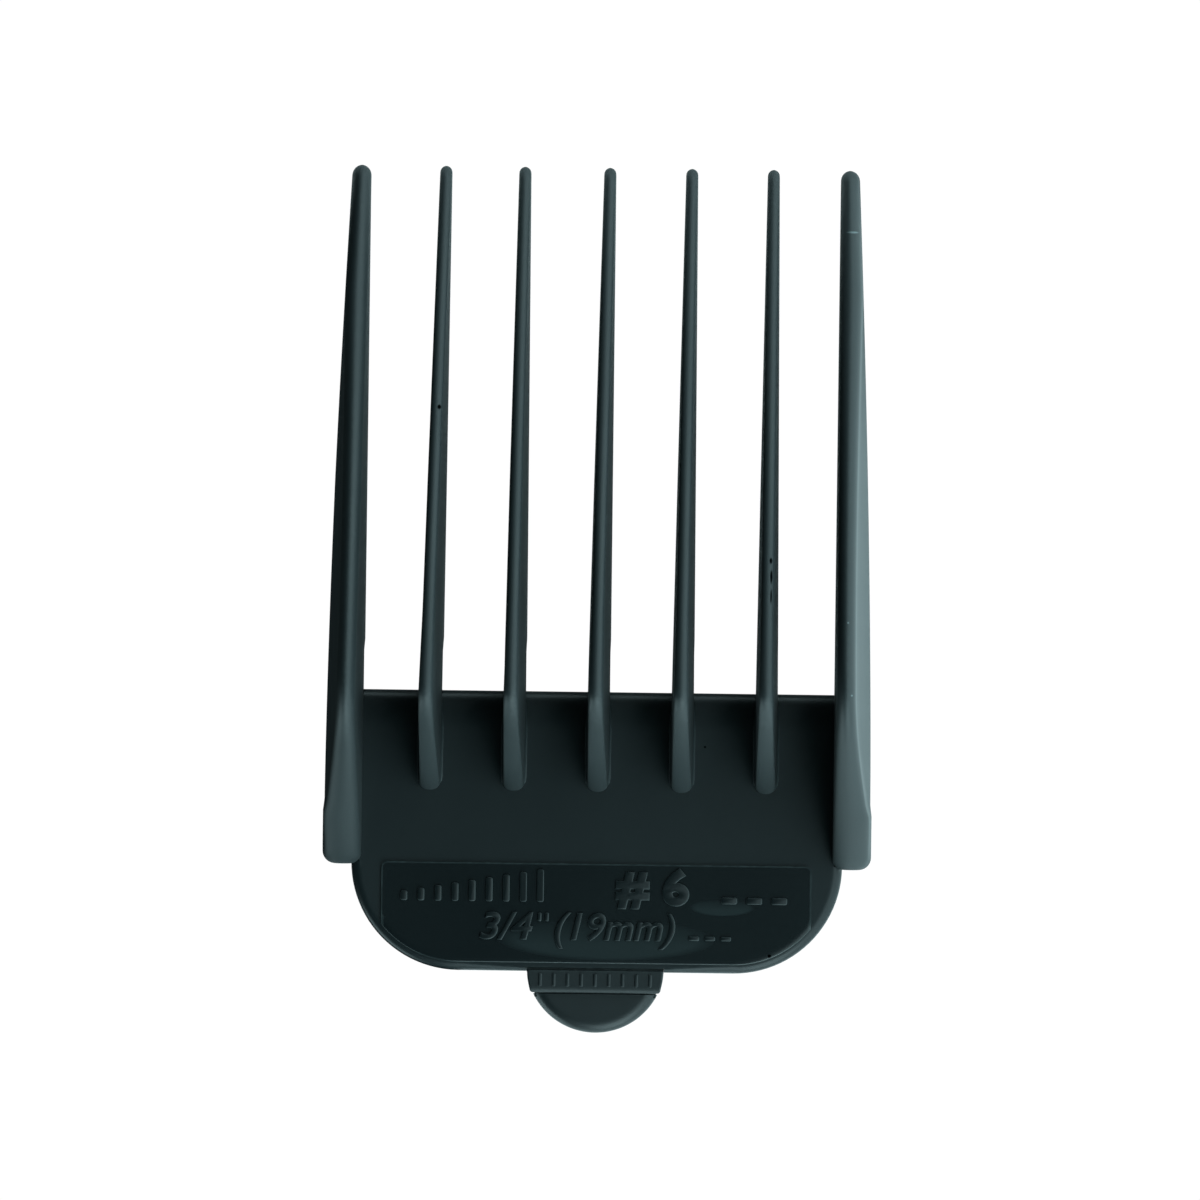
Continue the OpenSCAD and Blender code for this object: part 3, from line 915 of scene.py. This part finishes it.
class Shading:
    """A node tree with short calls to add nodes and join them."""

    def __init__(self, name):
        self.material = bpy.data.materials.new(name)
        self.material.use_nodes = True
        self.tree = self.material.node_tree
        self.shader = self.tree.nodes["Principled BSDF"]

    def add(self, kind):
        """A new node of a kind."""
        return self.tree.nodes.new(kind)

    def join(self, source, target):
        """Links an output to an input."""
        self.tree.links.new(source, target)

    def place(self):
        """Where a point lies on the comb, in metres."""
        return self.add("ShaderNodeTexCoord").outputs["Object"]

    def noise(self, scale, detail):
        """A cloudy number from 0 to 1."""
        node = self.add("ShaderNodeTexNoise")
        node.inputs["Scale"].default_value = scale
        node.inputs["Detail"].default_value = detail
        self.join(self.place(), node.inputs["Vector"])
        return node.outputs["Fac"]

    def ramp(self, source, low, high, start=0.0, end=1.0):
        """source from low to high, turned into a number from start to end."""
        node = self.add("ShaderNodeMapRange")
        for socket, value in zip(("From Min", "From Max", "To Min", "To Max"), (low, high, start, end)):
            node.inputs[socket].default_value = value
        self.join(source, node.inputs["Value"])
        return node.outputs["Result"]

    def blend(self, factor, first, second):
        """A colour between two, each a colour or a socket."""
        node = self.add("ShaderNodeMix")
        node.data_type = "RGBA"
        self.join(factor, node.inputs["Factor"])
        for socket, value in zip((node.inputs[6], node.inputs[7]), (first, second)):
            if isinstance(value, tuple):
                socket.default_value = (*value, 1)
            else:
                self.join(value, socket)
        return node.outputs[2]

    def spot(self, middle, size, soft=0.1):
        """1 inside an ellipsoid and 0 outside it, for its middle and half its size in millimetres."""
        mapping = self.add("ShaderNodeMapping")
        mapping.inputs["Scale"].default_value = [1 / (r * MM) for r in size]
        mapping.inputs["Location"].default_value = [-c / r for c, r in zip(middle, size)]
        self.join(self.place(), mapping.inputs["Vector"])
        length = self.add("ShaderNodeVectorMath")
        length.operation = "LENGTH"
        self.join(mapping.outputs["Vector"], length.inputs[0])
        return self.ramp(length.outputs["Value"], 1 - soft, 1 + soft, 1, 0)

    def fade(self, start, end):
        """0 to 1 along Y, from start to end in millimetres."""
        split = self.add("ShaderNodeSeparateXYZ")
        self.join(self.place(), split.inputs["Vector"])
        return self.ramp(split.outputs["Y"], start * MM, end * MM)

    def maths(self, operation, first, second):
        """Two values added or multiplied, each a number or a socket."""
        node = self.add("ShaderNodeMath")
        node.operation = operation
        for socket, value in zip(node.inputs, (first, second)):
            if isinstance(value, (int, float)):
                socket.default_value = value
            else:
                self.join(value, socket)
        return node.outputs[0]

    def attribute(self, name):
        """A value that the mesh stores for each point."""
        node = self.add("ShaderNodeAttribute")
        node.attribute_name = name
        return node.outputs["Fac"]


# The two shades that the plastic is mottled with
PLASTIC = (0.0050, 0.0078, 0.0086)
PLASTIC_LIGHT = (0.0053, 0.0083, 0.0091)
# Rubbed edges, partly a painted highlight, dulled patches, pits painted near black as their shade, and
# scratches
RUBBED_AND_HIGHLIGHT = (0.035, 0.046, 0.047)
DULLED = (0.0135, 0.0195, 0.0205)
PIT_SHADE = (0.0005, 0.0008, 0.001)
SCRATCHED = (0.1, 0.13, 0.135)
# Clouds per metre in each pattern: mottled colour, gloss, rubbed edges with their painted highlight, and the
# two parts of the grain
MOTTLE = 120
CLOUDS = 60
RUB_AND_HIGHLIGHT_CLOUDS = 1500
GRAIN = 5200
GRAIN_COARSE = 2200
# Height of the grain at full strength, in metres
GRAIN_HIGH = 0.00003


def plastic(
    name, roughness, painted_lightness, gloss=0.5, grain=0.25, wear_and_highlight=0.5, even=0.0, slant_highlight=0.0,
    dull=(), dots=(), scratches=(),
):
    """Black plastic: slightly mottled, finely grained, and rubbed paler along its edges, partly as a painted
    highlight.

    even is how evenly the edges are rubbed, a paleness that is partly a painted highlight, and the slanted
    faces' share is how much paler they are painted, as a painted highlight. dull has spots where the polish
    is gone, dots are pits painted near black as their shade, and scratches are small pale marks, each as a
    middle and a size.
    """
    s = Shading(name)
    mottle = s.ramp(s.noise(MOTTLE, 3), 0.3, 0.7)
    # each part gets a lighter or darker copy of one plastic: painted light and shade for how light falls on
    # that part
    dark, light = (tuple(c * painted_lightness for c in colour) for colour in (PLASTIC, PLASTIC_LIGHT))
    colour = s.blend(mottle, dark, light)
    for middle, size in dull:
        fade = s.fade(middle.y + 1.1 * size.y, middle.y - 0.3 * size.y)
        colour = s.blend(s.maths("MULTIPLY", s.spot(middle, size), fade), colour, DULLED)
    pit_shades = 0
    # pits are painted near black: painted shade in hollows that no geometry makes
    for middle, size in dots:
        pit_shade = s.spot(middle, size, 0.3)
        pit_shades = s.maths("ADD", pit_shades, pit_shade)
        colour = s.blend(pit_shade, colour, PIT_SHADE)
    for middle, size in scratches:
        colour = s.blend(s.spot(middle, size, 0.3), colour, SCRATCHED)
    # edges are painted paler; the paleness is partly rubbing and partly a painted highlight along each edge
    rub_and_highlight = s.ramp(s.noise(RUB_AND_HIGHLIGHT_CLOUDS, 4), 0.42, 0.62, even, 1)
    rub_and_highlight = s.maths("MULTIPLY", s.maths("MULTIPLY", rub_and_highlight, s.attribute("wear_and_highlight")), wear_and_highlight)
    colour = s.blend(rub_and_highlight, colour, RUBBED_AND_HIGHLIGHT)
    if slant_highlight:
        # slanted faces are painted paler: a painted highlight on sloping sides
        split = s.add("ShaderNodeSeparateXYZ")
        s.join(s.add("ShaderNodeNewGeometry").outputs["Normal"], split.inputs["Vector"])
        colour = s.blend(s.ramp(split.outputs["Z"], 0.97, 0.7, 0, slant_highlight), colour, RUBBED_AND_HIGHLIGHT)
    s.join(colour, s.shader.inputs["Base Color"])
    cloud = roughness / 20
    patches = s.ramp(s.noise(CLOUDS, 2), 0.3, 0.7, roughness - cloud, roughness + cloud)
    s.join(patches, s.shader.inputs["Roughness"])
    s.shader.inputs["IOR"].default_value = 1.5
    s.shader.inputs["Specular IOR Level"].default_value = gloss
    if dots:
        # a pit doesn't shine, so its gloss goes too: painted shade of the hollow
        s.join(s.ramp(pit_shades, 0, 1, gloss, 0), s.shader.inputs["Specular IOR Level"])
    height = s.maths("ADD", s.noise(GRAIN, 2), s.maths("MULTIPLY", s.noise(GRAIN_COARSE, 2), 0.4))
    bump = s.add("ShaderNodeBump")
    bump.inputs["Strength"].default_value = grain
    bump.inputs["Distance"].default_value = GRAIN_HIGH
    s.join(height, bump.inputs["Height"])
    s.join(bump.outputs["Normal"], s.shader.inputs["Normal"])
    return s.material


# ---- Stage, light and camera ----

# Colours of the lamps, of the room's faint light, and of the table
LIGHT = (0.7, 0.96, 1)
ROOM_LIGHT = (0.8, 0.97, 1)
TABLE_WHITE = (0.8, 0.8, 0.8)


def surround_white():
    """A plain white glow that ends up fully white in the picture."""
    s = Shading("surround_white")
    light = s.add("ShaderNodeEmission")
    light.inputs["Color"].default_value = (1, 1, 1, 1)
    light.inputs["Strength"].default_value = 1.02
    output = s.tree.nodes["Material Output"]
    s.join(light.outputs[0], output.inputs["Surface"])
    return s.material


def lit_white(name, glow):
    """Matt white that also glows a little: painted light that stands in for lamplight on the table."""
    s = Shading(name)
    s.shader.inputs["Base Color"].default_value = (*TABLE_WHITE, 1)
    s.shader.inputs["Roughness"].default_value = 1
    s.shader.inputs["Specular IOR Level"].default_value = 0
    s.shader.inputs["Emission Color"].default_value = (*LIGHT, 1)
    s.shader.inputs["Emission Strength"].default_value = glow
    return s.material


def stage_mesh(name, mesh, material):
    """A part of the stage from a bmesh in metres."""
    data = bpy.data.meshes.new(name)
    mesh.to_mesh(data)
    mesh.free()
    data.materials.append(material)
    thing = bpy.data.objects.new(name, data)
    bpy.context.scene.collection.objects.link(thing)
    return thing


# The lit table: left, near, right and far end of each part in metres, and how much it glows. The glow is
# painted light for lamplight on the table, dim around the fins as their painted shadow and bright at the
# right and the heel. It is dark at the left, as painted shadow of the comb, and lies just below the comb.
TABLE_Z = -0.0002
TABLE = (
    (-0.0248, -0.0290, 0.0262, 0.4, 0.14),
    (0.0262, -0.0290, 0.6, 0.4, 0.85),
    (-0.0120, -0.4, 0.6, -0.0290, 0.5),
)


def add_stage():
    """A bright table that lights the comb from below, and a white surround that only the camera sees."""
    for i, (left, near, right, far, glow) in enumerate(TABLE):
        mesh = bmesh.new()
        corners = [(left, near), (right, near), (right, far), (left, far)]
        mesh.faces.new([mesh.verts.new((x, y, TABLE_Z)) for x, y in corners])
        table = stage_mesh(f"table_{i}", mesh, lit_white(f"table_white_{i}", glow))
        table.visible_camera = False
    mesh = bmesh.new()
    bmesh.ops.create_icosphere(mesh, subdivisions=4, radius=3)
    surround = stage_mesh("surround", mesh, surround_white())
    surround.visible_diffuse = False
    surround.visible_glossy = False
    surround.visible_transmission = False
    surround.visible_shadow = False


def add_light(name, place, target, size, power):
    """A soft rectangular lamp at a place, turned to a target, in metres and watts."""
    lamp = bpy.data.lights.new(name, "AREA")
    lamp.shape = "RECTANGLE"
    lamp.size, lamp.size_y = size
    lamp.energy = power
    lamp.color = LIGHT
    thing = bpy.data.objects.new(name, lamp)
    bpy.context.scene.collection.objects.link(thing)
    thing.location = place
    thing.rotation_euler = (Vector(target) - Vector(place)).to_track_quat("-Z", "Y").to_euler()
    thing.visible_camera = False


def add_lights():
    """One key light from the right, a window low at the right, two cards and a fill at the left."""
    world = bpy.data.worlds.new("dim_room")
    world.use_nodes = True
    back = world.node_tree.nodes["Background"]
    back.inputs["Color"].default_value = (*ROOM_LIGHT, 1)
    back.inputs["Strength"].default_value = 0.004
    bpy.context.scene.world = world
    add_light("key", (0.6, 0, 1.0), (0, 0, 0.01), (2.6, 0.9), 18)
    add_light("window", (1.0, 0, 0.36), (0, 0, 0.36), (2.6, 0.7), 14)
    add_light("far_card", (0.25, 1.0, 0.26), (0.02, 0, 0.1), (0.6, 0.25), 4)
    add_light("near_card", (0.25, -0.9, 0.45), (0.02, 0, 0.1), (0.6, 0.9), 9)
    add_light("left_fill", (-0.8, -0.85, -0.12), (0, 0, 0.01), (0.8, 0.6), 6)


# The camera's place over the plate's middle and to its right in metres, its lens, and its turn about its axis
CAMERA_HIGH = 1.4
CAMERA_SIDE = 0.0186
CAMERA_LENS = 477.8
CAMERA_LEAN = math.radians(0.75)


def add_camera():
    """A camera that looks almost straight down on the skin side."""
    camera = bpy.data.objects.new("camera", bpy.data.cameras.new("camera"))
    bpy.context.scene.collection.objects.link(camera)
    camera.data.sensor_width = 36
    camera.data.lens = CAMERA_LENS
    camera.data.clip_end = 10
    middle = (cad_low + cad_high) / 2
    target = Vector((middle.x, middle.y, DECK * MM))
    place = target + Vector((CAMERA_SIDE, 0, CAMERA_HIGH))
    back = (place - target).normalized()
    lean = Vector((-math.sin(CAMERA_LEAN), math.cos(CAMERA_LEAN), 0))
    right = lean.cross(back).normalized()
    turn = Matrix((right, back.cross(right), back)).transposed()
    camera.matrix_world = Matrix.Translation(place) @ turn.to_4x4()
    bpy.context.scene.camera = camera


# ---- Marks of use, and pits painted near black as their shade ----


def on_panel(x, y, half_x, half_y):
    """A spot on the label panel, as its middle and half its size."""
    return Vector((x, y, panel_high.z)), Vector((half_x, half_y, 0.6))


def on_fin(x, y, half_x, half_y):
    """A spot on a fin's skin edge, deep enough for the edge of any fin."""
    return Vector((x, y, top_z(y, ROOT_Y, DECK))), Vector((half_x, half_y, 2))


def on_tine(k, aside, y, half_x, half_y):
    """A spot on the skin edge of tine k, to one side of its middle."""
    return on_fin(tine_x(k, y) + aside, y, half_x, half_y)


# Pits on the first and the last tine, painted near black as the shade in hollows that the mesh doesn't have
fin_dots = [
    on_tine(-2, 0.25, 16.7, 0.16, 0.2),
    on_tine(2, 0.25, 3.6, 0.12, 0.25),
    on_tine(2, 0.3, 2.2, 0.1, 0.6),
    on_tine(2, 0.3, 0.5, 0.07, 0.6),
]
# A scratch near the right rail's tip, and two specks behind it
fin_scratches = [
    on_fin(21.8, 32.6, 0.5, 0.08),
    on_fin(21.8, -1.7, 0.08, 0.08),
    on_fin(22.2, -8.0, 0.08, 0.08),
]
# a pit on the plate and one on the panel, painted near black as their shade
plate_dots = [((9.4, -12.8, DECK), (0.1, 0.1, 0.3))]
panel_dots = [on_panel(15.3, -31.1, 0.16, 0.16)]
# Patches under the marks where the polish is gone
panel_dull = [on_panel(0.95, -29.8, 8.8, 1.75), on_panel(11.1, -26.9, 2.6, 0.7)]

# ---- The scene ----

bpy.context.scene.view_settings.view_transform = "Standard"
add_camera()
add_stage()
add_lights()

# One plastic for all parts: the number after the roughness makes the fins a lighter copy and the plate,
# panel, marks and latch darker copies, as painted light and shade
fin_plastic = plastic("fin_plastic", 0.58, 1.95, dots=fin_dots, scratches=fin_scratches)
plate_plastic = plastic("plate_plastic", 0.36, 1.3, gloss=0.28, grain=0.1, wear_and_highlight=0.3, dots=plate_dots)
label_plastic = plastic(
    "label_plastic", 0.24, 0.95, gloss=0.3, grain=0.1, wear_and_highlight=1.0, even=0.6, dull=panel_dull, dots=panel_dots
)
mark_plastic = plastic("mark_plastic", 0.3, 1.0, gloss=0.3, wear_and_highlight=0.1, slant_highlight=0.75)
latch_plastic = plastic("latch_plastic", 0.4, 1.2, gloss=0.35, grain=0.15, wear_and_highlight=0.3)

plate(plate_plastic)
lip(plate_plastic)
for number in range(-2, 3):
    tine(number, fin_plastic)
for way in (-1, 1):
    rail(way, fin_plastic)
label_panel(label_plastic)
strip(latch_plastic)
hinge_web(latch_plastic)
thumb_tab(latch_plastic)
size_marks(mark_plastic)
ridges(latch_plastic)
toe_hooks(fin_plastic)
blade_land(plate_plastic)
latch_wall(latch_plastic)
latch_barb(latch_plastic)
latch_gussets(latch_plastic)
